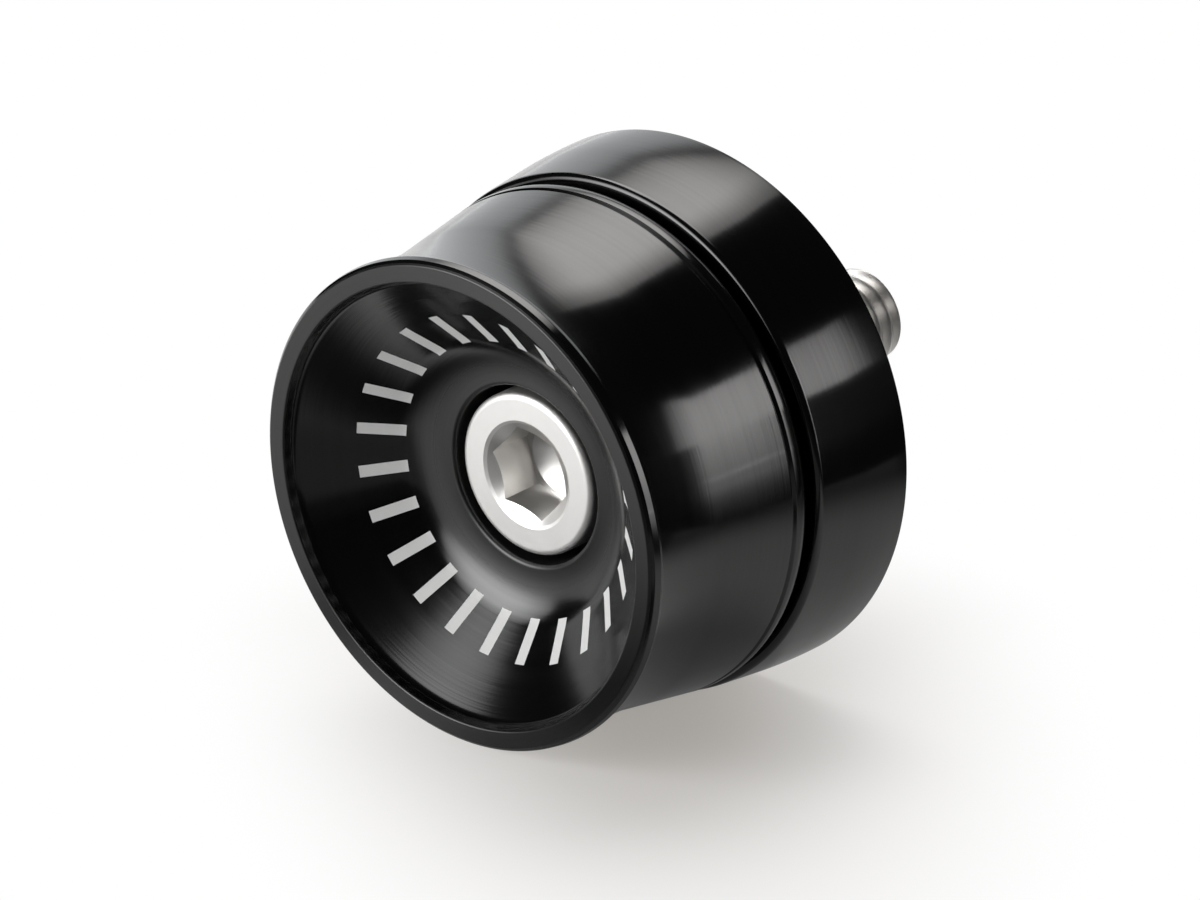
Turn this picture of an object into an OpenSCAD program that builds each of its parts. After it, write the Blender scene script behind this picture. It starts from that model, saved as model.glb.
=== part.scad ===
// Bar end weight: flared body, rear collar and a through screw.
// Millimetres. The axis lies along Y, the dish opens towards -Y and the thread points to +Y.
// The origin is on the axis, in the rear seat face of the collar. +Z is up.

/* [Overall] */
// Length from the rim face to the rear seat face.
stack_length = 21.0; // [16:0.1:40]
// Circle smoothness.
round_fn = 96; // [48:8:128]

/* [Front rim] */
// Outer diameter of the rim.
rim_d = 30.0; // [24:0.1:40]
// Width of the flat ring on the rim face.
rim_face_w = 0.9; // [0.6:0.05:2]
// Chamfer on the outer corner of the rim.
rim_chamfer = 0.35; // [0.1:0.05:0.8]
// Axial end of the cylindrical land behind the chamfer.
rim_land_end = 0.66; // [0.5:0.02:1.5]
// Axial length of the broken edge behind the land.
rim_back_len = 0.32; // [0.1:0.02:0.6]
// Broken edge between the rim face and the dish.
rim_inner_break = 0.15; // [0.05:0.05:0.4]

/* [Flare] */
// Distance of the waist behind the rim face.
waist_at = 3.9; // [2.5:0.1:6]
// Diameter at the waist.
waist_d = 29.26; // [22:0.02:39]
// Radius of the concave sweep through the waist.
flare_radius = 17.0; // [10:0.5:60]
// Axial distance from the waist to the end of the sweep.
flare_reach = 2.7; // [1:0.1:4]
// Half angle of the cone behind the sweep.
cone_angle = 8.7; // [2:0.1:12]

/* [Rear edge of the body] */
// Distance of the fine turned line in front of the body's rear edge.
line_back = 1.44; // [0.8:0.02:3]
// Width of the fine turned line.
line_w = 0.28; // [0.1:0.02:0.5]
// Depth of the fine turned line.
line_depth = 0.16; // [0.05:0.01:0.4]
// Rounding of the rear outer corner.
rear_round = 0.5; // [0.2:0.05:0.9]
// Width of the open shadow gap between body and collar.
gap_w = 0.36; // [0.1:0.02:1]
// Radial depth of the shadow gap, measured from the collar's front corner.
gap_depth = 1.8; // [0.5:0.1:4]

/* [Dish] */
// Depth of the dish floor behind the rim face.
dish_depth = 5.9; // [3:0.1:8]
// Depth of the short wall between the rim face and the slope.
dish_wall_depth = 0.75; // [0.3:0.05:1.5]
// Diameter of the flat dish floor, up to the sharp corner with the slope.
dish_floor_d = 15.2; // [12:0.1:22]
// Fillet between the floor and the slope of the dish.
dish_fillet = 3.5; // [0.3:0.1:5]

/* [Screw] */
// Nominal thread diameter.
thread_d = 6.0; // [5:0.1:8]
// Length under the head.
screw_length = 25.0; // [20:0.25:40]
// Head diameter.
head_d = 10.0; // [8.5:0.1:13]
// Head height.
head_h = 6.0; // [5:0.1:8]
// Rounded edge on the head's top.
head_edge = 0.4; // [0.1:0.05:0.8]
// Key size across flats.
hex_af = 5.0; // [4:0.05:6]
// Depth of the hexagon below the head's top.
hex_depth = 3.2; // [2.5:0.1:4]
// Turn of the hexagon about the axis.
hex_turn = 14; // [0:1:59]
// Diameter of the countersunk mouth of the socket.
mouth_d = 6.7; // [5.8:0.05:7.2]
// Chamfer on the end of the thread.
tip_chamfer = 0.6; // [0.3:0.05:1]
// Fillet under the head, made as a cone.
neck_fillet = 0.25; // [0.1:0.05:0.3]
// Depth of the thread root that is cut as a ring just inside the seat face.
root_depth = 0.3; // [0.1:0.05:0.6]

/* [Fits] */
// Diameter of the clearance hole.
hole_d = 6.6; // [6.4:0.1:9]
// Diameter of the counterbore.
bore_d = 11.0; // [10.4:0.1:14]
// Broken edge on the mouth of the counterbore.
bore_break = 0.25; // [0.05:0.05:0.5]
// Height of the dish floor above the head's top.
head_sink = 0.15; // [0:0.05:1]
// Diameter of the spigot.
spigot_d = 16.0; // [13:0.5:24]
// Length of the spigot.
spigot_length = 2.5; // [1:0.1:4]
// Radial clearance of the spigot in the collar.
spigot_gap = 0.05; // [0.02:0.01:0.2]
// Clearance below the spigot's end.
spigot_end_gap = 0.3; // [0.1:0.1:1]

/* [Collar] */
// Length of the collar.
collar_length = 7.5; // [5:0.1:12]
// Chamfer on the collar's front corner.
collar_chamfer = 0.4; // [0.2:0.05:1]
// Diameter at the front end of the collar's cone.
collar_front_d = 32.0; // [25:0.1:42]
// Diameter of the collar's rear cylinder.
collar_d = 33.0; // [25:0.1:42]
// Length of the collar's cone as a share of the collar's length.
collar_cone_share = 0.63; // [0.3:0.01:0.8]
// Length, each way, over which the cone eases into the rear cylinder.
collar_blend = 0.95; // [0.2:0.05:1.2]
// Chamfer on the collar's rear corner.
collar_rear_chamfer = 0.3; // [0.1:0.05:0.8]

/* [Hidden] */
$fn = round_fn;
black = [0.05, 0.05, 0.055];
black_ring = [0.08, 0.08, 0.085];
steel = [0.78, 0.78, 0.76];
rim_r = rim_d / 2;
rim_inner_r = rim_r - rim_chamfer - rim_face_w;
waist_r = waist_d / 2;
floor_r = dish_floor_d / 2;
// Slope of the dish between its short wall and the sharp corner at the floor.
slope_top_r = rim_inner_r - rim_inner_break - 0.2 * dish_wall_depth;
slope_run = slope_top_r - floor_r;
slope_drop = dish_depth - dish_wall_depth;
slope_turn = atan2(slope_drop, slope_run);
// The fillet stops short of the counterbore's broken edge.
fillet_room = floor_r - bore_d / 2 - bore_break * 2;
fillet_r = min(dish_fillet, fillet_room / tan(slope_turn / 2));
fillet_cut = fillet_r * tan(slope_turn / 2);
// Ends of the concave sweep.
sweep_front_at = rim_land_end + rim_back_len;
sweep_front_r = waist_r + flare_radius - sqrt(flare_radius * flare_radius - pow(waist_at - sweep_front_at, 2));
sweep_rear_at = waist_at + flare_reach;
sweep_rear_r = waist_r + flare_radius - sqrt(flare_radius * flare_radius - flare_reach * flare_reach);
function cone_r(at) = sweep_rear_r + (at - sweep_rear_at) * tan(cone_angle);
collar_front = stack_length - collar_length;
collar_cone_len = collar_length * collar_cone_share;
collar_slope = (collar_d - collar_front_d) / 2 / collar_cone_len;
cone_end = collar_front + collar_chamfer + collar_cone_len;
body_rear = collar_front - gap_w;
line_at = body_rear - line_back;
round_at = body_rear - rear_round;
round_r = cone_r(round_at) - rear_round / cos(cone_angle);
seat_r = collar_front_d / 2 - collar_chamfer - gap_depth;
bore_r = bore_d / 2;
hole_r = hole_d / 2;
spigot_r = spigot_d / 2;
head_top = dish_depth + head_sink;
head_seat = head_top + head_h;
head_r = head_d / 2;
thread_r = thread_d / 2;
hex_r = hex_af / 2 / cos(30);
mouth_r = mouth_d / 2;
mouth_depth = (mouth_r - hex_af / 2) * tan(30);

// Puts a shape that was drawn along +Z from the rim face onto the Y axis.
module on_axis() {
    translate([0, -stack_length, 0])
        rotate([-90, 0, 0])
            children();
}

// Half section of the body, radius to the right and depth upwards.
module body_section() {
    difference() {
        union() {
            polygon([
                [hole_r, head_seat],
                [bore_r, head_seat],
                [bore_r, dish_depth + bore_break],
                [bore_r + bore_break, dish_depth],
                [floor_r - fillet_cut, dish_depth],
                [floor_r + fillet_cut * cos(slope_turn), dish_depth - fillet_cut * sin(slope_turn)],
                [slope_top_r, dish_wall_depth],
                [rim_inner_r - rim_inner_break, rim_inner_break],
                [rim_inner_r, 0],
                [rim_r - rim_chamfer, 0],
                [rim_r, rim_chamfer],
                [rim_r, rim_land_end],
                [sweep_front_r, sweep_front_at],
                [sweep_rear_r, sweep_rear_at],
                [cone_r(line_at - line_w / 2), line_at - line_w / 2],
                [cone_r(line_at) - line_depth, line_at],
                [cone_r(line_at + line_w / 2), line_at + line_w / 2],
                [round_r + rear_round * cos(cone_angle), round_at - rear_round * sin(cone_angle)],
                [round_r, body_rear],
                [seat_r, body_rear],
                [seat_r, collar_front],
                [spigot_r, collar_front],
                [spigot_r, collar_front + spigot_length - 0.3],
                [spigot_r - 0.3, collar_front + spigot_length],
                [hole_r, collar_front + spigot_length]
            ]);
            // rounded rear corner
            translate([round_r, round_at])
                circle(r = rear_round);
        }
        // concave sweep through the waist
        translate([waist_r + flare_radius, waist_at])
            circle(r = flare_radius, $fn = round_fn * 2);
        // fillet at the foot of the dish slope
        translate([floor_r - fillet_cut, dish_depth - fillet_r])
            circle(r = fillet_r);
    }
}

module flared_body() {
    color(black)
        on_axis()
            rotate_extrude()
                body_section();
}

// Half section of the collar, radius to the right and depth upwards.
module collar_section() {
    polygon([
        [hole_r, collar_front + spigot_length + spigot_end_gap],
        [spigot_r + spigot_gap, collar_front + spigot_length + spigot_end_gap],
        [spigot_r + spigot_gap, collar_front + 0.3],
        [spigot_r + spigot_gap + 0.3, collar_front],
        [collar_front_d / 2 - collar_chamfer, collar_front],
        [collar_front_d / 2, collar_front + collar_chamfer],
        [collar_d / 2 - collar_blend * collar_slope, cone_end - collar_blend],
        [collar_d / 2, cone_end + collar_blend],
        [collar_d / 2, stack_length - collar_rear_chamfer],
        [collar_d / 2 - collar_rear_chamfer, stack_length],
        [hole_r + 0.3, stack_length],
        [hole_r, stack_length - 0.3]
    ]);
}

module rear_collar() {
    color(black_ring)
        on_axis()
            rotate_extrude()
                collar_section();
}

// Screw head with its rounded top edge.
module screw_head() {
    translate([0, 0, head_top + head_edge])
        cylinder(r = head_r, h = head_h - head_edge);
    rotate_extrude()
        union() {
            translate([0, head_top])
                square([head_r - head_edge, head_edge * 2]);
            translate([head_r - head_edge, head_top + head_edge])
                circle(r = head_edge);
        }
}

// Threaded shank with the neck below the head and the chamfered end.
module screw_shank() {
    translate([0, 0, head_seat])
        cylinder(r1 = thread_r + neck_fillet, r2 = thread_r, h = neck_fillet);
    translate([0, 0, head_seat - head_edge])
        cylinder(r = thread_r, h = stack_length - 2 * root_depth - head_seat + head_edge);
    translate([0, 0, stack_length - 2 * root_depth])
        cylinder(r1 = thread_r, r2 = thread_r - root_depth, h = root_depth);
    translate([0, 0, stack_length - root_depth])
        cylinder(r1 = thread_r - root_depth, r2 = thread_r, h = root_depth);
    translate([0, 0, stack_length])
        cylinder(r = thread_r, h = head_seat + screw_length - tip_chamfer - stack_length);
    translate([0, 0, head_seat + screw_length - tip_chamfer])
        cylinder(r1 = thread_r, r2 = thread_r - tip_chamfer, h = tip_chamfer);
}

// Hexagon socket with its countersunk mouth and drilled bottom.
module socket() {
    translate([0, 0, head_top - head_edge])
        rotate([0, 0, hex_turn])
            cylinder(r = hex_r, h = hex_depth + head_edge, $fn = 6);
    translate([0, 0, head_top + hex_depth * 0.99])
        cylinder(r1 = hex_af * 0.49, r2 = 0, h = hex_af * 0.49 * tan(30));
    translate([0, 0, head_top])
        cylinder(r1 = mouth_r, r2 = mouth_r - mouth_depth / tan(30), h = mouth_depth);
}

module cap_screw() {
    color(steel)
        on_axis()
            difference() {
                union() {
                    screw_head();
                    screw_shank();
                }
                socket();
            }
}

flared_body();
rear_collar();
cap_screw();
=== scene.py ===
from math import acos, cos, degrees, pi, radians, sin, sqrt, tan

import bpy
from mathutils import Matrix, Vector


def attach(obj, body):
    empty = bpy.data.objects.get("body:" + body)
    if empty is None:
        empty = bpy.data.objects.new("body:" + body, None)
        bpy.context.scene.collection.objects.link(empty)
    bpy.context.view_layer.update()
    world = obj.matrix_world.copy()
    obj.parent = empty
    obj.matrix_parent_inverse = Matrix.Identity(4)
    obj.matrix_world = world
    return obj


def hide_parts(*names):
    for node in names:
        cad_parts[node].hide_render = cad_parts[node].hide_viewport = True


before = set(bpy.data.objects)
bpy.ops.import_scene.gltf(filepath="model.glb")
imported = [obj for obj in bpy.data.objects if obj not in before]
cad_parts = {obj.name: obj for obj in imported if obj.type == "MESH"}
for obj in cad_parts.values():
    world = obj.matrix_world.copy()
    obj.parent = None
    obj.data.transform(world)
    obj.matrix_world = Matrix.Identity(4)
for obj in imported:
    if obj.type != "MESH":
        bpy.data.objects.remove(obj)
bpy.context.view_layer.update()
bpy.ops.object.select_all(action="DESELECT")


# ---------------------------------------------------------------- front weight
# The flared body is turned from aluminium bar on a lathe: rim, waist, cone, dish and counterbore
# in one setting, with every corner broken by a small radius. It is anodised gloss black, and
# the fine feed lines of the finishing cut still show through the anodising.

MM = 0.001
SEAT_AT = 21.0                      # from the rim face to the seat plane, where the frame has its origin
STEP_TURN, STEP_CHORD = 7, 0.12     # at most this many degrees and mm to one step of a rounding
MOST_OF_SIDE = 0.92                 # share of a side that a rounding may take up
HOLD, HOLD_SIDES = 0.03, 0.25       # mm from a corner to the row that holds its shading, on sides this long
WELD_PATH, WELD_SEAM = 1e-7, 2e-7   # merging distances in metres
SHARP_TURNED = radians(28)          # a sharper edge than this isn't smoothed


def eased(corners, closed):
    """Section points in mm from (distance behind the rim, radius, corner radius) corners."""
    points = []
    count = len(corners)
    for i, (s, r, ease) in enumerate(corners):
        here = Vector((s, r))
        ends = not closed and i in (0, count - 1)
        before = Vector(corners[i - 1][:2]) - here
        after = Vector(corners[(i + 1) % count][:2]) - here
        if ends or ease <= 0:
            points.append(here)
            continue
        a, b = before.normalized(), after.normalized()
        half = acos(max(-1.0, min(1.0, a.dot(b)))) / 2
        cut = min(ease / tan(half), before.length * MOST_OF_SIDE, after.length * MOST_OF_SIDE)
        radius = cut * tan(half)
        middle = here + (a + b).normalized() * radius / sin(half)
        start, stop = here + a * cut - middle, here + b * cut - middle
        turn = start.angle_signed(stop)
        steps = max(3, round(degrees(abs(turn)) / STEP_TURN), round(radius * abs(turn) / STEP_CHORD))
        for k in range(steps + 1):
            spoke = start.copy()
            spoke.rotate(Matrix.Rotation(-turn * k / steps, 2))
            points.append(middle + spoke)
    held = []
    pairs = list(zip(points, points[1:] + points[:1]))
    for a, b in pairs if closed else pairs[:-1]:
        held.append(a)
        span = (b - a).length
        if span > HOLD_SIDES:
            held += [a.lerp(b, HOLD / span), a.lerp(b, 1 - HOLD / span)]
    return held if closed else held + [points[-1]]


def turned(name, section, closed, steps=256):
    """A lathe-turned piece: the section is drawn point by point and spun about the long axis."""
    path = [Vector((p.y * MM, (p.x - SEAT_AT) * MM, 0)) for p in section]
    bpy.ops.mesh.primitive_plane_add(size=0.001, location=path[0])
    piece = bpy.context.object
    piece.name = piece.data.name = name
    bpy.ops.object.transform_apply(location=True, rotation=True, scale=True)
    bpy.ops.object.mode_set(mode="EDIT")
    bpy.ops.mesh.select_all(action="SELECT")
    bpy.ops.mesh.merge(type="CENTER")
    for a, b in zip(path, path[1:] + (path[:1] if closed else [])):
        bpy.ops.mesh.extrude_vertices_move(TRANSFORM_OT_translate={"value": b - a})
    bpy.ops.mesh.select_all(action="SELECT")
    bpy.ops.mesh.remove_doubles(threshold=WELD_PATH)
    bpy.ops.mesh.select_all(action="SELECT")
    bpy.ops.mesh.spin(steps=steps, angle=2 * pi, center=(0, 0, 0), axis=(0, 1, 0))
    bpy.ops.mesh.select_all(action="SELECT")
    bpy.ops.mesh.remove_doubles(threshold=WELD_SEAM)
    bpy.ops.mesh.normals_make_consistent(inside=False)
    bpy.ops.object.mode_set(mode="OBJECT")
    bpy.ops.object.shade_smooth_by_angle(angle=SHARP_TURNED)
    piece.select_set(False)
    return piece


WAIST_AT, WAIST_R, SWEEP = 3.9, 14.63, 17.0                 # the waist is an arc of 17 mm radius
SWEEP_FRONT, SWEEP_REAR, CONE = 0.98, 6.6, radians(8.7)     # the arc's ends, and the cone behind it
FLARE_STEPS = 30


def sweep_r(s):
    """Radius of the waist's arc at a distance behind the rim."""
    return WAIST_R + SWEEP - sqrt(SWEEP ** 2 - (s - WAIST_AT) ** 2)


def cone_r(s):
    """Radius of the cone that carries on from the arc."""
    return sweep_r(SWEEP_REAR) + (s - SWEEP_REAR) * tan(CONE)


flare = [SWEEP_FRONT + (SWEEP_REAR - SWEEP_FRONT) * k / FLARE_STEPS for k in range(FLARE_STEPS + 1)]
# counterbore, dish and rim; flare; decorative line, rear edge, joint groove and spigot
body_corners = (
    [(12.05, 3.3, 0), (12.05, 5.5, 0), (5.9, 5.5, 0.28), (5.9, 7.6, 4.7), (0.75, 13.45, 0.8),
     (0.0, 13.64, 0.14), (0.0, 14.65, 0.12), (0.27, 14.92, 0.12), (0.72, 15.0, 0.14)]
    + [(s, sweep_r(s), 0.3 if s == SWEEP_FRONT else 0) for s in flare]
    + [(11.53, cone_r(11.53), 0.05), (11.7, cone_r(11.7) - 0.18, 0.04), (11.87, cone_r(11.87), 0.07),
       (13.14, cone_r(13.14), 0.9), (13.14, 13.8, 0.1), (13.5, 13.8, 0.1), (13.5, 8.0, 0.1),
       (16.0, 8.0, 0.3), (16.0, 3.3, 0.2)])
body = turned("flared_body_turned", eased(body_corners, True), True)


def node_of(tree, kind, at, *sources, **settings):
    """One node of a material or group, placed and set, with its first sockets linked in order."""
    node = tree.nodes.new(kind)
    node.location = at
    for key, value in settings.items():
        setattr(node, key, value)
    for slot, source in enumerate(sources):
        tree.links.new(source, node.inputs[slot])
    return node


def sum_up(tree, at, operation, first, second=None, third=None):
    """A maths node fed by sockets or by plain numbers; returns its output."""
    node = node_of(tree, "ShaderNodeMath", at, operation=operation)
    for slot, value in enumerate((first, second, third)):
        if value is None:
            continue
        if isinstance(value, (int, float)):
            node.inputs[slot].default_value = value
        else:
            tree.links.new(value, node.inputs[slot])
    return node.outputs[0]


def remap(tree, at, socket, ends, values=(0.0, 1.0), kind="SMOOTHSTEP"):
    """Maps what lies between two ends onto two values; returns the output."""
    node = node_of(tree, "ShaderNodeMapRange", at, socket, interpolation_type=kind)
    for label, value in zip(("From Min", "From Max", "To Min", "To Max"), (*ends, *values)):
        node.inputs[label].default_value = value
    return node.outputs[0]


def mix_of(tree, at, kind, factor, a, b):
    """A mix of two colours or numbers, each a plain value or a socket; returns its output."""
    node = node_of(tree, "ShaderNodeMix", at, data_type=kind)
    tree.links.new(factor, node.inputs["Factor"])
    for label, value in (("A", a), ("B", b)):
        if isinstance(value, bpy.types.NodeSocket):
            tree.links.new(value, node.inputs[label])
        else:
            node.inputs[label].default_value = value
    return node.outputs["Result"]


# Feed lines of a lathe tool: rings that change along the axis and along the radius only,
# broken up a little round the circle. Line scale is in lines per metre.
lathe = bpy.data.node_groups.new("lathe_feed_lines", "ShaderNodeTree")
for label, kind, start in (("Lines per metre", "NodeSocketFloat", 9000.0),
                           ("Break-up", "NodeSocketFloat", 0.4)):
    socket = lathe.interface.new_socket(name=label, in_out="INPUT", socket_type=kind)
    socket.default_value = start
for label in ("Lines", "Wide bands", "Radius"):
    lathe.interface.new_socket(name=label, in_out="OUTPUT", socket_type="NodeSocketFloat")
put_in = node_of(lathe, "NodeGroupInput", (-900, 0))
put_out = node_of(lathe, "NodeGroupOutput", (700, 0))
place = node_of(lathe, "ShaderNodeTexCoord", (-900, 300))
split = node_of(lathe, "ShaderNodeSeparateXYZ", (-720, 300), place.outputs["Object"])
square_x = sum_up(lathe, (-540, 400), "MULTIPLY", split.outputs["X"], split.outputs["X"])
square_z = sum_up(lathe, (-540, 250), "MULTIPLY", split.outputs["Z"], split.outputs["Z"])
radius = sum_up(lathe, (-200, 350), "SQRT", sum_up(lathe, (-370, 350), "ADD", square_x, square_z))
around = sum_up(lathe, (-540, 100), "ARCTAN2", split.outputs["Z"], split.outputs["X"])
up_down = sum_up(lathe, (-370, 100), "SINE", around)
left_right = sum_up(lathe, (-370, -50), "COSINE", around)
UNEVEN = 0.63       # weight of left and right against up and down, so that no two sides are alike
drift = sum_up(lathe, (-190, -150), "MULTIPLY_ADD", left_right, UNEVEN, up_down)
rings = node_of(lathe, "ShaderNodeCombineXYZ", (0, 250),
                sum_up(lathe, (-190, 150), "MULTIPLY", radius, put_in.outputs[0]),
                sum_up(lathe, (-190, 0), "MULTIPLY", split.outputs["Y"], put_in.outputs[0]),
                sum_up(lathe, (0, -100), "MULTIPLY", drift, put_in.outputs[1]))
fine = node_of(lathe, "ShaderNodeTexNoise", (200, 300), rings.outputs[0], noise_dimensions="3D")
fine.inputs["Scale"].default_value = 1.0
fine.inputs["Detail"].default_value = 2.0
wide = node_of(lathe, "ShaderNodeTexNoise", (200, 50), rings.outputs[0], noise_dimensions="3D")
wide.inputs["Scale"].default_value = 0.16
wide.inputs["Detail"].default_value = 1.0
lathe.links.new(fine.outputs[0], put_out.inputs["Lines"])
lathe.links.new(wide.outputs[0], put_out.inputs["Wide bands"])
lathe.links.new(radius, put_out.inputs["Radius"])


def anodised(name, black, gloss, lines_per_metre, depth):
    """Gloss black anodising over turned aluminium, its lines as deep as told in mm.
    Returns the material, its tree, shader and feed lines, and its roughness and tint sockets."""
    material = bpy.data.materials.new(name)
    material.use_nodes = True
    tree = material.node_tree
    tree.nodes.clear()
    skin = node_of(tree, "ShaderNodeBsdfPrincipled", (600, 0))
    node_of(tree, "ShaderNodeOutputMaterial", (900, 0), skin.outputs[0])
    skin.inputs["Metallic"].default_value = 0.0
    skin.inputs["IOR"].default_value = 1.65
    skin.inputs["Anisotropic"].default_value = 0.6
    skin.inputs["Anisotropic Rotation"].default_value = 0.25
    feed = node_of(tree, "ShaderNodeGroup", (-500, 0), node_tree=lathe)
    feed.inputs["Lines per metre"].default_value = lines_per_metre
    feed.inputs["Break-up"].default_value = 0.5
    grain = node_of(tree, "ShaderNodeTangent", (200, -400), direction_type="RADIAL", axis="Y")
    tree.links.new(grain.outputs[0], skin.inputs["Tangent"])
    sheen = remap(tree, (-200, -50), feed.outputs["Wide bands"], (0.0, 1.0),
                  (gloss * 0.8, gloss * 1.2), "LINEAR")
    tree.links.new(sheen, skin.inputs["Roughness"])
    tint = mix_of(tree, (-200, 250), "RGBA", feed.outputs["Lines"],
                  (*[c * 0.8 for c in black], 1), (*[c * 1.25 for c in black], 1))
    tree.links.new(tint, skin.inputs["Base Color"])
    streaks = remap(tree, (-200, -250), feed.outputs["Lines"], (0.25, 0.75), (0.48, 0.52), "LINEAR")
    tree.links.new(streaks, skin.inputs["Specular IOR Level"])
    cut = node_of(tree, "ShaderNodeBump", (200, -200))
    cut.inputs["Strength"].default_value = 1.0
    cut.inputs["Distance"].default_value = depth * MM
    tree.links.new(feed.outputs["Lines"], cut.inputs["Height"])
    tree.links.new(cut.outputs[0], skin.inputs["Normal"])
    return material, tree, skin, feed, sheen, tint


BLACK = (0.0012, 0.0012, 0.0013)
body_finish, tree, skin, feed, sheen, tint = anodised(
    "black_anodising_body", BLACK, gloss=0.14, lines_per_metre=5200.0, depth=0.0030)

# Index bars on the slope of the dish: short pale bars, laser marked through the anodising.
BARS, BAR_FROM, BAR_TO, BAR_WIDTH, BAR_ROUGHNESS = 24, 8.5, 10.7, 0.72, 0.55
BAR_TONE, BARS_BEFORE = (0.80, 0.80, 0.79, 1), -14.5        # mm from the seat; none lie behind it
place = node_of(tree, "ShaderNodeTexCoord", (-1300, 700))
split = node_of(tree, "ShaderNodeSeparateXYZ", (-1100, 700), place.outputs["Object"])
around = sum_up(tree, (-900, 800), "ARCTAN2", split.outputs["Z"], split.outputs["X"])
share = sum_up(tree, (-740, 800), "MULTIPLY_ADD", around, BARS / (2 * pi), 100.0)
beside = sum_up(tree, (-580, 800), "ABSOLUTE", sum_up(tree, (-660, 700), "SUBTRACT", sum_up(
    tree, (-700, 650), "FRACT", share), 0.5))
arc = sum_up(tree, (-420, 800), "MULTIPLY", beside, sum_up(
    tree, (-500, 650), "MULTIPLY", feed.outputs["Radius"], 2 * pi / BARS))
inside = sum_up(tree, (-260, 800), "LESS_THAN", arc, BAR_WIDTH / 2 * MM)
from_r = sum_up(tree, (-260, 650), "GREATER_THAN", feed.outputs["Radius"], BAR_FROM * MM)
to_r = sum_up(tree, (-260, 500), "LESS_THAN", feed.outputs["Radius"], BAR_TO * MM)
front = sum_up(tree, (-260, 380), "LESS_THAN", split.outputs["Y"], BARS_BEFORE * MM)
marked = sum_up(tree, (-100, 700), "MULTIPLY", sum_up(tree, (-180, 700), "MULTIPLY", inside, from_r),
                sum_up(tree, (-180, 450), "MULTIPLY", to_r, front))
bar_tone = mix_of(tree, (300, 400), "RGBA", marked, tint, BAR_TONE)
tree.links.new(bar_tone, skin.inputs["Base Color"])

# The land of the rim and the ring round the screw are faced, so duller than the turned slope.
RING_IN, RING_OUT, LAND_BEFORE, FACED_ROUGHNESS = 6.2, 8.4, -20.88, 0.32
ring = remap(tree, (-260, 950), feed.outputs["Radius"], (RING_IN * MM, RING_OUT * MM), (1.0, 0.0))
land = sum_up(tree, (-260, 1100), "LESS_THAN", split.outputs["Y"], LAND_BEFORE * MM)
faced = mix_of(tree, (100, 150), "FLOAT", sum_up(tree, (-100, 950), "MAXIMUM", ring, land),
               sheen, FACED_ROUGHNESS)
bar_gloss = mix_of(tree, (300, 150), "FLOAT", marked, faced, BAR_ROUGHNESS)
tree.links.new(bar_gloss, skin.inputs["Roughness"])

body.data.materials.append(body_finish)
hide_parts("flared_body")
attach(body, "root")


# ---------------------------------------------------------------- rear collar
# A separate turned ring that sits between the weight and the bar end. Its front recess
# drops over the weight's spigot, its cone carries on the line of the flare, and its flat
# rear face seats on the bar. Same black anodising as the weight.

collar_corners = [
    (16.3, 3.3, 0), (16.3, 8.05, 0.1), (13.5, 8.05, 0.25), (13.5, 15.958, 0.42),
    (18.63, 16.5, 34.0), (20.7, 16.5, 0.12), (21.0, 16.2, 0.1), (21.0, 3.6, 0.08), (20.7, 3.3, 0.08)]
collar = turned("rear_collar_turned", eased(collar_corners, True), True)
collar_finish = anodised("black_anodising_collar", BLACK, gloss=0.13, lines_per_metre=5000.0, depth=0.0026)[0]
collar.data.materials.append(collar_finish)
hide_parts("rear_collar")
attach(collar, "root")


# ---------------------------------------------------------------- cap screw
# A stainless M6 x 25 socket head cap screw, cold formed with a 5 mm hexagon, clamps the two
# turned pieces together. Its rolled thread stands out behind the collar and enters the bar.

THREAD_R, ROOT_R, PITCH, TURNS, STEPS_A_TURN = 2.99, 2.40, 1.0, 19, 64
THREAD_START = -1.3     # inside the collar; the winding is trimmed to the shank's end below
screw_corners = [
    (6.05, 0, 0), (6.05, 5.0, 0.4), (12.05, 5.0, 0.15), (12.05, 3.25, 0.05), (12.3, 3.0, 0.1),
    (20.1, 3.0, 0), (20.7, ROOT_R, 0), (37.05, ROOT_R, 0.05), (37.05, 0, 0)]
screw = turned("cap_screw_formed", eased(screw_corners, False), False, 192)


def carve(piece, tool, operation):
    """Cuts, joins or trims a piece with another solid, which is used up."""
    step = piece.modifiers.new("carve", "BOOLEAN")
    step.operation = operation
    step.solver = "EXACT"
    step.object = tool
    bpy.context.view_layer.objects.active = piece
    bpy.ops.object.modifier_apply(modifier=step.name)
    bpy.data.objects.remove(tool)


# The rolled thread: one ridge section, wound right-handed from inside the collar to past the tip.
ridge = [(-0.40, ROOT_R - 0.05), (-0.085, THREAD_R - 0.02), (-0.05, THREAD_R), (0.05, THREAD_R),
         (0.085, THREAD_R - 0.02), (0.40, ROOT_R - 0.05)]
bpy.ops.mesh.primitive_plane_add(
    size=0.001, location=(ridge[0][1] * MM, (THREAD_START + ridge[0][0]) * MM, 0))
thread = bpy.context.object
thread.name = "thread_ridge"
bpy.ops.object.transform_apply(location=True, rotation=True, scale=True)
bpy.ops.object.mode_set(mode="EDIT")
bpy.ops.mesh.select_all(action="SELECT")
bpy.ops.mesh.merge(type="CENTER")
for a, b in zip(ridge, ridge[1:] + ridge[:1]):
    bpy.ops.mesh.extrude_vertices_move(
        TRANSFORM_OT_translate={"value": ((b[1] - a[1]) * MM, (b[0] - a[0]) * MM, 0)})
bpy.ops.mesh.select_all(action="SELECT")
bpy.ops.mesh.remove_doubles(threshold=WELD_PATH)
bpy.ops.object.mode_set(mode="OBJECT")
wind = thread.modifiers.new("wind", "SCREW")
wind.axis = "Y"
wind.angle = 2 * pi
wind.screw_offset = PITCH * MM
wind.iterations = TURNS
wind.steps = wind.render_steps = STEPS_A_TURN
wind.use_merge_vertices = False
bpy.context.view_layer.objects.active = thread
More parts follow.
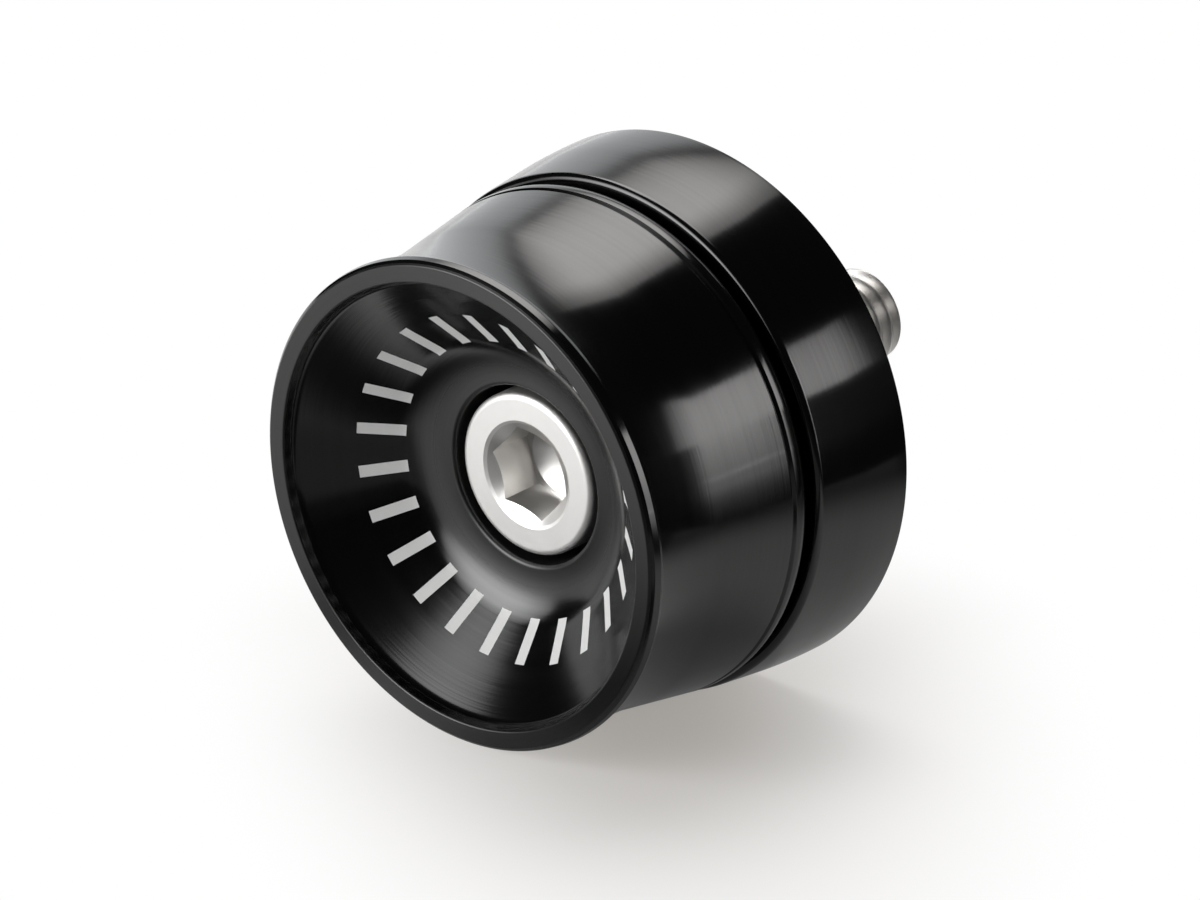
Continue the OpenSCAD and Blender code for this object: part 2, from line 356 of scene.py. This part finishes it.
bpy.ops.object.modifier_apply(modifier=wind.name)
bpy.ops.object.mode_set(mode="EDIT")
bpy.ops.mesh.select_all(action="SELECT")
bpy.ops.mesh.remove_doubles(threshold=WELD_SEAM)
bpy.ops.mesh.select_all(action="DESELECT")
bpy.ops.mesh.select_non_manifold()
bpy.ops.mesh.fill_holes(sides=0)
bpy.ops.mesh.select_all(action="SELECT")
bpy.ops.mesh.normals_make_consistent(inside=False)
bpy.ops.object.mode_set(mode="OBJECT")
thread.select_set(False)

# What is kept of the winding: from just inside the seat, with a run-in, to the chamfer of the tip.
trim_corners = [(20.5, 0, 0), (20.5, 2.5, 0), (21.0, 3.1, 0), (36.35, 3.1, 0), (37.05, 2.4, 0), (37.05, 0, 0)]
trim = turned("thread_trim", eased(trim_corners, False), False, 96)
carve(thread, trim, "INTERSECT")
carve(screw, thread, "UNION")

# The hexagon, the countersink round its mouth and its drilled end. Depths are from the head's top;
# CLEAR, SINK_OVER and LAP are how far a cutter reaches past the face or the cut that it meets.
HEX_AF, HEX_TURN, HEAD_TOP = 5.0, radians(-16), 6.05
HEX_DEPTH, DRILL_DEPTH, LAP, CLEAR = 3.2, 4.55, 0.1, 1
SINK_R, SINK_DEPTH, SINK_SLOPE, SINK_OVER = 3.35, 0.491, pi / 6, 0.3


def cutter(kind, s_from, s_to, turn=0.0, **sizes):
    """A cylinder or cone along the axis between two distances behind the rim."""
    middle = ((s_from + s_to) / 2 - SEAT_AT) * MM
    kind(depth=(s_to - s_from) * MM, location=(0, middle, 0), rotation=(-pi / 2, turn, 0), **sizes)
    tool = bpy.context.object
    tool.select_set(False)
    return tool


hexagon = cutter(bpy.ops.mesh.primitive_cylinder_add, HEAD_TOP - CLEAR, HEAD_TOP + HEX_DEPTH, HEX_TURN,
                 vertices=6, radius=HEX_AF / 2 / cos(pi / 6) * MM)
carve(screw, hexagon, "DIFFERENCE")
countersink = cutter(bpy.ops.mesh.primitive_cone_add, HEAD_TOP - SINK_OVER, HEAD_TOP + SINK_DEPTH,
                     vertices=144, radius1=(SINK_R + SINK_OVER / tan(SINK_SLOPE)) * MM,
                     radius2=HEX_AF / 2 * MM)
carve(screw, countersink, "DIFFERENCE")
drilled_end = cutter(bpy.ops.mesh.primitive_cone_add, HEAD_TOP + HEX_DEPTH - LAP, HEAD_TOP + DRILL_DEPTH,
                     vertices=96, radius1=HEX_AF / 2 * MM, radius2=0.0)
carve(screw, drilled_end, "DIFFERENCE")

# The cuts leave slivers about a thousandth of a millimetre wide, whose edges are shared by more than
# two faces, so they are merged.
SLIVER, SLIVER_SIDE, SHARP_SCREW = 1e-6, 5e-7, radians(25)
bpy.context.view_layer.objects.active = screw
screw.select_set(True)
bpy.ops.object.mode_set(mode="EDIT")
bpy.ops.mesh.select_all(action="SELECT")
bpy.ops.mesh.remove_doubles(threshold=SLIVER)
bpy.ops.mesh.dissolve_degenerate(threshold=SLIVER_SIDE)
bpy.ops.object.mode_set(mode="OBJECT")
bpy.ops.object.shade_smooth_by_angle(angle=SHARP_SCREW)
screw.select_set(False)

# The head is satin. The rolled thread is darker and smoother; the formed hexagon is smoother, and its socket
# is darkened with painted shade.
IN_THREAD_FROM, SOCKET_R, SOCKET_FROM = -2.0, 3.15, -14.90      # mm, and mm from the seat
THREAD_DULL, SOCKET_SHADE, FORMED_ROUGHNESS = 0.42, 0.34, 0.35
STEEL, STEEL_PALE, STEEL_DARK = (0.94, 0.928, 0.91, 1), (1.0, 0.99, 0.975, 1), (0.52, 0.50, 0.475, 1)
SATIN, LINE_DEPTH = (0.42, 0.54), 0.0020
steel = bpy.data.materials.new("plain_stainless")
steel.use_nodes = True
tree = steel.node_tree
tree.nodes.clear()
skin = node_of(tree, "ShaderNodeBsdfPrincipled", (600, 0))
node_of(tree, "ShaderNodeOutputMaterial", (900, 0), skin.outputs[0])
skin.inputs["Metallic"].default_value = 1.0
feed = node_of(tree, "ShaderNodeGroup", (-600, 0), node_tree=lathe)
feed.inputs["Lines per metre"].default_value = 3500.0
feed.inputs["Break-up"].default_value = 2.0
place = node_of(tree, "ShaderNodeTexCoord", (-900, -300))
pits = node_of(tree, "ShaderNodeTexNoise", (-600, -300), place.outputs["Object"], noise_dimensions="3D")
pits.inputs["Scale"].default_value = 3200.0
pits.inputs["Detail"].default_value = 3.0
cloud = node_of(tree, "ShaderNodeTexNoise", (-600, -550), place.outputs["Object"], noise_dimensions="3D")
cloud.inputs["Scale"].default_value = 900.0
cloud.inputs["Detail"].default_value = 4.0
tone = mix_of(tree, (0, 200), "RGBA", cloud.outputs[0], STEEL, STEEL_PALE)
parts = node_of(tree, "ShaderNodeSeparateXYZ", (-600, 500), place.outputs["Object"])
in_thread = sum_up(tree, (-400, 500), "GREATER_THAN", parts.outputs["Y"], IN_THREAD_FROM * MM)
in_socket = sum_up(tree, (-200, 650), "MULTIPLY", sum_up(
    tree, (-400, 700), "LESS_THAN", feed.outputs["Radius"], SOCKET_R * MM), sum_up(
    tree, (-400, 600), "GREATER_THAN", parts.outputs["Y"], SOCKET_FROM * MM))
# Painted shade: the steel inside the hexagon socket is mixed towards the dark tone. The thread is darker too.
thread_dark_socket_shade = sum_up(tree, (0, 550), "MAXIMUM", sum_up(tree, (-100, 600), "MULTIPLY", in_thread, THREAD_DULL),
              sum_up(tree, (-100, 500), "MULTIPLY", in_socket, SOCKET_SHADE))
tree.links.new(mix_of(tree, (200, 350), "RGBA", thread_dark_socket_shade, tone, STEEL_DARK), skin.inputs["Base Color"])
satin = remap(tree, (0, -50), pits.outputs[0], (0.0, 1.0), SATIN, "LINEAR")
formed = sum_up(tree, (0, 450), "MAXIMUM", in_thread, in_socket)
tree.links.new(mix_of(tree, (300, 50), "FLOAT", formed, satin, FORMED_ROUGHNESS), skin.inputs["Roughness"])
mixed = sum_up(tree, (0, -300), "ADD", feed.outputs["Lines"], pits.outputs[0])
cut = node_of(tree, "ShaderNodeBump", (250, -300))
cut.inputs["Strength"].default_value = 1.0
cut.inputs["Distance"].default_value = LINE_DEPTH * MM
tree.links.new(mixed, cut.inputs["Height"])
tree.links.new(cut.outputs[0], skin.inputs["Normal"])
screw.data.materials.append(steel)
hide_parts("cap_screw")
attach(screw, "root")


# ---------------------------------------------------------------- floor
# A sheet of white paper. The weight lies on it on its rim and on the edge of the collar, so
# the paper is tilted a few degrees to the part's axis. It runs out to plain white.

# In mm: how far before the seat the paper touches the collar and the rim, and how much higher it
# lies at the rim, which is that much smaller than the collar.
COLLAR_REST, COLLAR_R, RIM_REST, RISE = 2.375, 16.5, 20.65, 1.5
TILT = RISE / (RIM_REST - COLLAR_REST)
PAPER_SIZE, SEEN, LIT, PAINTED_SHADE_TONE = 6, (0.51, 0.51, 0.51, 1), (0.50, 0.50, 0.50, 1), (0.05, 0.05, 0.05, 1)
paper_up = Vector((0, TILT, 1)).normalized()
bpy.ops.mesh.primitive_grid_add(x_subdivisions=8, y_subdivisions=8, size=PAPER_SIZE)
floor = bpy.context.object
floor.name = "paper_floor"
bpy.ops.object.transform_apply(location=True, rotation=True, scale=True)
floor.data.transform(Matrix.Translation((0, -COLLAR_REST * MM, -COLLAR_R * MM)) @
                     Vector((0, 0, 1)).rotation_difference(paper_up).to_matrix().to_4x4())
floor.select_set(False)
paper = bpy.data.materials.new("white_paper")
paper.use_nodes = True
tree = paper.node_tree
tree.nodes.clear()
where = node_of(tree, "ShaderNodeTexCoord", (-700, 0)).outputs["Object"]
split = node_of(tree, "ShaderNodeSeparateXYZ", (-500, -200), where)
right_of = split.outputs["X"]
before = sum_up(tree, (-300, -800), "MULTIPLY", split.outputs["Y"], -1.0)
reach = sum_up(tree, (-500, -350), "ADD", split.outputs["X"], split.outputs["Y"])
forward = sum_up(tree, (-500, 450), "SUBTRACT", split.outputs["X"], split.outputs["Y"])

# The shadow that the lamps cast shows in a soft pool whose outline is painted: it reaches forward and right,
# away from the lamps behind, and fades out to white.
# It is half an ellipse forward and half a shorter one back: half axes in metres, and shifts as shares.
POOL_ACROSS, POOL_FORWARD, POOL_BACK, POOL_CORE = 0.02765, 0.0596, 0.022, 0.04
SHIFT_ACROSS, SHIFT_FORWARD, SHIFT_BACK = 0.1498, -0.1425, -0.18
across = sum_up(tree, (-350, 350), "MULTIPLY_ADD", reach, 1 / (sqrt(2) * POOL_ACROSS), SHIFT_ACROSS)
along = sum_up(tree, (-250, 450), "MAXIMUM", sum_up(
    tree, (-350, 450), "MULTIPLY_ADD", forward, 1 / (sqrt(2) * POOL_FORWARD), SHIFT_FORWARD), sum_up(
    tree, (-350, 550), "MULTIPLY_ADD", forward, -1 / (sqrt(2) * POOL_BACK), SHIFT_BACK))
pool = node_of(tree, "ShaderNodeCombineXYZ", (-150, 400), across,
               sum_up(tree, (-200, 500), "MAXIMUM", along, 0.0))
pool_size = node_of(tree, "ShaderNodeVectorMath", (-50, 400), pool.outputs[0], operation="LENGTH")
blend = remap(tree, (-300, 100), pool_size.outputs["Value"], (POOL_CORE, 1.0))
seen = node_of(tree, "ShaderNodeBsdfDiffuse", (100, 200))
seen.inputs["Color"].default_value = SEEN
# Painted light: the paper glows warm of itself, which lightens its shadow and tints it warm.
warm_shadow_glow = node_of(tree, "ShaderNodeEmission", (100, 50))
warm_shadow_glow.inputs["Color"].default_value = (1.0, 0.945, 0.88, 1)
warm_shadow_glow.inputs["Strength"].default_value = 0.34
near = node_of(tree, "ShaderNodeAddShader", (300, 150), seen.outputs[0], warm_shadow_glow.outputs[0])
white = node_of(tree, "ShaderNodeEmission", (300, 0))
white.inputs["Strength"].default_value = 1.0
to_camera = node_of(tree, "ShaderNodeMixShader", (500, 150), blend, near.outputs[0], white.outputs[0])

# The gloss of the part sees other tones than the camera, with light and shade painted on the paper. For it
# the paper is lit near the part and on the left, under the key box, and painted dark behind on the right, far
# away, in front on the right and in a painted shadow band close before the rim. Each patch eases in or out
# between two distances in metres.
UNDER_PART = (-0.001, -0.010, -0.0165)
LEFT, RIGHT_REAR, FAR, FRONT = (-0.010, 0.003), (0.035, 0.075), (0.05, 0.09), (0.028, 0.042)
BAND_FROM, BAND_TO, BAND_LEFT = (0.023, 0.029), (0.032, 0.043), (-0.028, -0.017)
FRONT_DARK, BAND_DARK, BAND_LEFT_DARK = 0.65, 0.98, 0.25
away = node_of(tree, "ShaderNodeVectorMath", (-500, 100), where, operation="DISTANCE")
away.inputs[1].default_value = UNDER_PART
left_part = remap(tree, (-100, -600), right_of, LEFT, (1.0, 0.0))
right_rear = remap(tree, (-300, -250), reach, RIGHT_REAR)
too_far = sum_up(tree, (100, -450), "SUBTRACT",
                 remap(tree, (-100, -450), away.outputs["Value"], FAR), left_part)
# Painted shadow: a dark band on the paper close before the rim, weaker on the left.
band = sum_up(tree, (0, -800), "MULTIPLY", remap(tree, (-100, -800), before, BAND_FROM),
              remap(tree, (-100, -950), before, BAND_TO, (BAND_DARK, 0.0)))
shadow_before_rim = sum_up(tree, (100, -800), "MULTIPLY", band,
                  remap(tree, (0, -950), right_of, BAND_LEFT, (BAND_LEFT_DARK, 1.0)))
front_right = sum_up(tree, (100, -900), "MULTIPLY", remap(tree, (-100, -900), before, FRONT),
                     sum_up(tree, (0, -900), "MULTIPLY_ADD", left_part, -FRONT_DARK, FRONT_DARK))
painted_dark = sum_up(tree, (300, -500), "MAXIMUM", sum_up(tree, (200, -350), "MAXIMUM", right_rear, too_far),
              sum_up(tree, (250, -650), "MAXIMUM", shadow_before_rim, front_right))
# Where the patches are dark, the paper is near-black: painted shade.
lit = node_of(tree, "ShaderNodeBsdfDiffuse", (100, -250))
lit.inputs["Color"].default_value = LIT
painted_shade = node_of(tree, "ShaderNodeBsdfDiffuse", (100, -400))
painted_shade.inputs["Color"].default_value = PAINTED_SHADE_TONE

# Painted reflection: for gloss the paper glows in a narrow lane that widens towards the side box, as though
# it mirrored the foot of that box.
LANE_WAY, LANE_ACROSS = (0.9135, 0.4067, 0.0), (-0.4067, 0.9135, 0.0)
LANE_FROM, LANE_SIDE, LANE_GLOW = (0.02, 0.26), (0.16, 0.24), 1.35
lane_way = node_of(tree, "ShaderNodeVectorMath", (-500, -1400), where, operation="DOT_PRODUCT")
lane_way.inputs[1].default_value = LANE_WAY
lane_off = node_of(tree, "ShaderNodeVectorMath", (-500, -1550), where, operation="DOT_PRODUCT")
lane_off.inputs[1].default_value = LANE_ACROSS
lane_side = sum_up(tree, (-300, -1550), "ABSOLUTE", sum_up(
    tree, (-350, -1550), "DIVIDE", lane_off.outputs["Value"], lane_way.outputs["Value"]))
lane = sum_up(tree, (-50, -1450), "MULTIPLY",
              remap(tree, (-200, -1400), lane_way.outputs["Value"], LANE_FROM, (0.0, LANE_GLOW)),
              remap(tree, (-200, -1550), lane_side, LANE_SIDE, (1.0, 0.0)))
painted_lane_glow = node_of(tree, "ShaderNodeEmission", (100, -1400))
tree.links.new(lane, painted_lane_glow.inputs["Strength"])
painted_shade_and_lane = node_of(tree, "ShaderNodeAddShader", (300, -1000), painted_shade.outputs[0], painted_lane_glow.outputs[0])

# Painted light: the paper glows a little of itself, most on the left, and more below the part than before it.
GLOW_LEFT, GLOW_BELOW, GLOW_BEFORE, GLOW_EDGE = 0.42, 0.12, 0.03, (0.012, 0.020)
painted_glow_left = node_of(tree, "ShaderNodeEmission", (100, -1100))
glow = remap(tree, (-300, -1050), before, GLOW_EDGE, (GLOW_BELOW, GLOW_BEFORE))
glow = sum_up(tree, (0, -1100), "MULTIPLY_ADD", left_part, GLOW_LEFT, glow)
tree.links.new(glow, painted_glow_left.inputs["Strength"])
lit_and_painted_glow = node_of(tree, "ShaderNodeAddShader", (400, -350), lit.outputs[0], painted_glow_left.outputs[0])
to_gloss = node_of(tree, "ShaderNodeMixShader", (500, -250), painted_dark,
                   lit_and_painted_glow.outputs[0], painted_shade_and_lane.outputs[0])

# From below the paper is clear, so that it hides nothing.
path = node_of(tree, "ShaderNodeLightPath", (-100, 500))
which = node_of(tree, "ShaderNodeMixShader", (700, 0), path.outputs["Is Camera Ray"],
                to_gloss.outputs[0], to_camera.outputs[0])
below = node_of(tree, "ShaderNodeNewGeometry", (700, 300))
clear = node_of(tree, "ShaderNodeBsdfTransparent", (700, -200))
either = node_of(tree, "ShaderNodeMixShader", (900, 0), below.outputs["Backfacing"],
                 which.outputs[0], clear.outputs[0])
node_of(tree, "ShaderNodeOutputMaterial", (1100, 0), either.outputs[0])
floor.data.materials.append(paper)


# ---------------------------------------------------------------- lights
# Soft boxes on a dark studio: a large key in front on the left, a box and a lit backdrop
# behind on the left, and a narrow one on the right. Bearings are in degrees: 0 is the
# front of the dish, 90 the right side.

SIDE_DIM = 0.35                         # what is left of the light at a dimmed side
AIM = Vector((0, -0.008, 0))            # the middle of the part, which every box faces


def soft_box(name, bearings, heights, distance, steps, shape="RECTANGLE",
             slant=0.0, side=0.0, colour=(1, 1, 1)):
    """An area lamp that spans the bearings and heights; steps are (share, radiance).
    The share runs up a rectangle from its foot, or out from the middle of an ellipse. A slant
    tips the foot; side is the share of the width over which one side is dimmed."""
    az, el = radians(sum(bearings) / 2), radians(sum(heights) / 2)
    way = Vector((sin(az) * cos(el), -cos(az) * cos(el), sin(el)))
    bpy.ops.object.light_add(type="AREA", location=way * distance + AIM)
    lamp = bpy.context.object
    lamp.name = lamp.data.name = name
    lamp.rotation_euler = (-way).to_track_quat("-Z", "Y").to_euler()
    light = lamp.data
    light.shape = shape
    light.size = 2 * distance * tan(radians(bearings[1] - bearings[0]) / 2) * cos(el)
    light.size_y = 2 * distance * tan(radians(heights[1] - heights[0]) / 2)
    light.energy = pi * light.size * light.size_y * (pi / 4 if shape == "ELLIPSE" else 1)
    light.use_nodes = True
    light.color = colour
    nodes = light.node_tree
    glow = next(n for n in nodes.nodes if n.type == "EMISSION")
    # over the lamp this runs from 0 to 1 both ways
    spot = node_of(nodes, "ShaderNodeNewGeometry", (-700, 0)).outputs["Parametric"]
    parts = node_of(nodes, "ShaderNodeSeparateXYZ", (-500, 0), spot)
    ramp = node_of(nodes, "ShaderNodeFloatCurve", (-300, 0))
    steps = sorted(steps)
    steps = [steps[0], steps[-1]] + steps[1:-1]     # a new curve has its two ends, so they come first
    top = max(value for _, value in steps)
    curve = ramp.mapping.curves[0]
    for k, (share, value) in enumerate(steps):
        if k < 2:
            curve.points[k].location = (share, value / top)
        else:
            curve.points.new(share, value / top)
    ramp.mapping.update()
    if shape == "ELLIPSE":
        out = node_of(nodes, "ShaderNodeVectorMath", (-500, 200), spot, operation="DISTANCE")
        out.inputs[1].default_value = (0.5, 0.5, 0.0)
        along = sum_up(nodes, (-400, 100), "MULTIPLY", out.outputs["Value"], 2.0)
    else:
        sideways = sum_up(nodes, (-450, 200), "SUBTRACT", parts.outputs["X"], 0.5)
        along = sum_up(nodes, (-400, 100), "MULTIPLY_ADD", sideways, slant, parts.outputs["Y"])
    nodes.links.new(along, ramp.inputs["Value"])
    level = sum_up(nodes, (-50, 0), "MULTIPLY", ramp.outputs[0], top)
    if side:
        ends, values = ((0.0, side), (SIDE_DIM, 1.0)) if side > 0 else ((1.0 + side, 1.0), (1.0, SIDE_DIM))
        fade = remap(nodes, (-50, 200), parts.outputs["X"], ends, values)
        level = sum_up(nodes, (100, 0), "MULTIPLY", level, fade)
    nodes.links.new(level, glow.inputs["Strength"])
    lamp.visible_camera = False
    lamp.select_set(False)


soft_box("key_box", (-56, 6), (-9, 48), 0.70,
         [(0.0, 6.0), (0.35, 5.6), (0.67, 3.5), (0.88, 1.9), (1.0, 0.8)], "ELLIPSE")
soft_box("rear_box", (182, 250), (28, 78), 0.70,
         [(0.0, 0.0), (0.13, 0.1), (0.21, 1.3), (0.31, 2.3),
          (0.39, 3.1), (0.47, 3.75), (0.58, 4.3), (1.0, 4.4)],
         slant=0.25, side=0.25, colour=(1.0, 0.985, 0.965))
soft_box("backdrop_glow", (182, 250), (-6, 33), 0.75,
         [(0.0, 1.1), (0.45, 1.15), (0.76, 1.15), (0.90, 0.7), (1.0, 0.1)],
         slant=0.2, colour=(0.965, 0.985, 1.0))
soft_box("side_box", (106, 131), (-3, 28), 0.60, [(0.0, 1.6), (0.3, 2.6), (0.55, 3.5), (1.0, 3.6)],
         side=-0.55, colour=(1.0, 0.985, 0.975))

# A small black flag that only gloss sees, and that casts no shadow, paints a dark patch over the lower part
# of the side box in the collar's reflection.
FLAG_AT, FLAG_TURN, FLAG_SIZE = (0.050, 0.030, -0.0012), radians(110), (0.036, 0.031, 1)
bpy.ops.mesh.primitive_plane_add(size=1, location=FLAG_AT, rotation=(pi / 2, 0, FLAG_TURN))
flag = bpy.context.object
flag.name = "black_flag"
flag.scale = FLAG_SIZE
bpy.ops.object.transform_apply(location=True, rotation=True, scale=True)
flag.visible_camera = flag.visible_diffuse = flag.visible_shadow = flag.visible_transmission = False
felt = bpy.data.materials.new("black_felt")
felt.use_nodes = True
tree = felt.node_tree
cloth = next(n for n in tree.nodes if n.type == "BSDF_PRINCIPLED")
cloth.inputs["Roughness"].default_value = 0.9
place = node_of(tree, "ShaderNodeTexCoord", (-800, 0))
fuzz = node_of(tree, "ShaderNodeTexNoise", (-600, 0), place.outputs["Object"])
fuzz.inputs["Scale"].default_value = 900.0
fuzz_tone = mix_of(tree, (-300, 0), "RGBA", fuzz.outputs[0],
                   (0.004, 0.004, 0.004, 1), (0.012, 0.012, 0.012, 1))
tree.links.new(fuzz_tone, cloth.inputs["Base Color"])
flag.data.materials.append(felt)
flag.select_set(False)

# The studio's walls are dark to the part and plain white to the camera.
DIM_ROOM = 0.018
world = bpy.data.worlds.new("dark_studio")
bpy.context.scene.world = world
world.use_nodes = True
tree = world.node_tree
tree.nodes.clear()
path = node_of(tree, "ShaderNodeLightPath", (0, 300))
dim = node_of(tree, "ShaderNodeBackground", (200, 0))
plain = node_of(tree, "ShaderNodeBackground", (200, -150))
for room, strength in ((dim, DIM_ROOM), (plain, 1.0)):
    room.inputs["Color"].default_value = (1, 1, 1, 1)
    room.inputs["Strength"].default_value = strength
pick = node_of(tree, "ShaderNodeMixShader", (400, 0), path.outputs["Is Camera Ray"],
               dim.outputs[0], plain.outputs[0])
node_of(tree, "ShaderNodeOutputWorld", (600, 0), pick.outputs[0])


# ---------------------------------------------------------------- camera
# Where the photograph was taken from, turned a little to centre the part, with a longer lens.

EYE = Vector((0.363061, -0.407866, 0.223269))
LOOK = Vector((0.0, -0.0085, -0.0006))
PHOTO_UP = Vector((-0.23036, 0.31976, 0.91907))
ahead = (LOOK - EYE).normalized()
right = ahead.cross(PHOTO_UP).normalized()
up = right.cross(ahead)
bpy.ops.object.camera_add(location=EYE)
camera = bpy.context.object
camera.matrix_world = Matrix.Translation(EYE) @ Matrix((right, up, -ahead)).transposed().to_4x4()
camera.data.sensor_width = 36.0
camera.data.lens = 300.0
camera.data.clip_start = 0.01
camera.data.clip_end = 20.0
camera.data.dof.use_dof = False
camera.select_set(False)
bpy.context.scene.camera = camera
bpy.context.scene.view_settings.view_transform = "Standard"
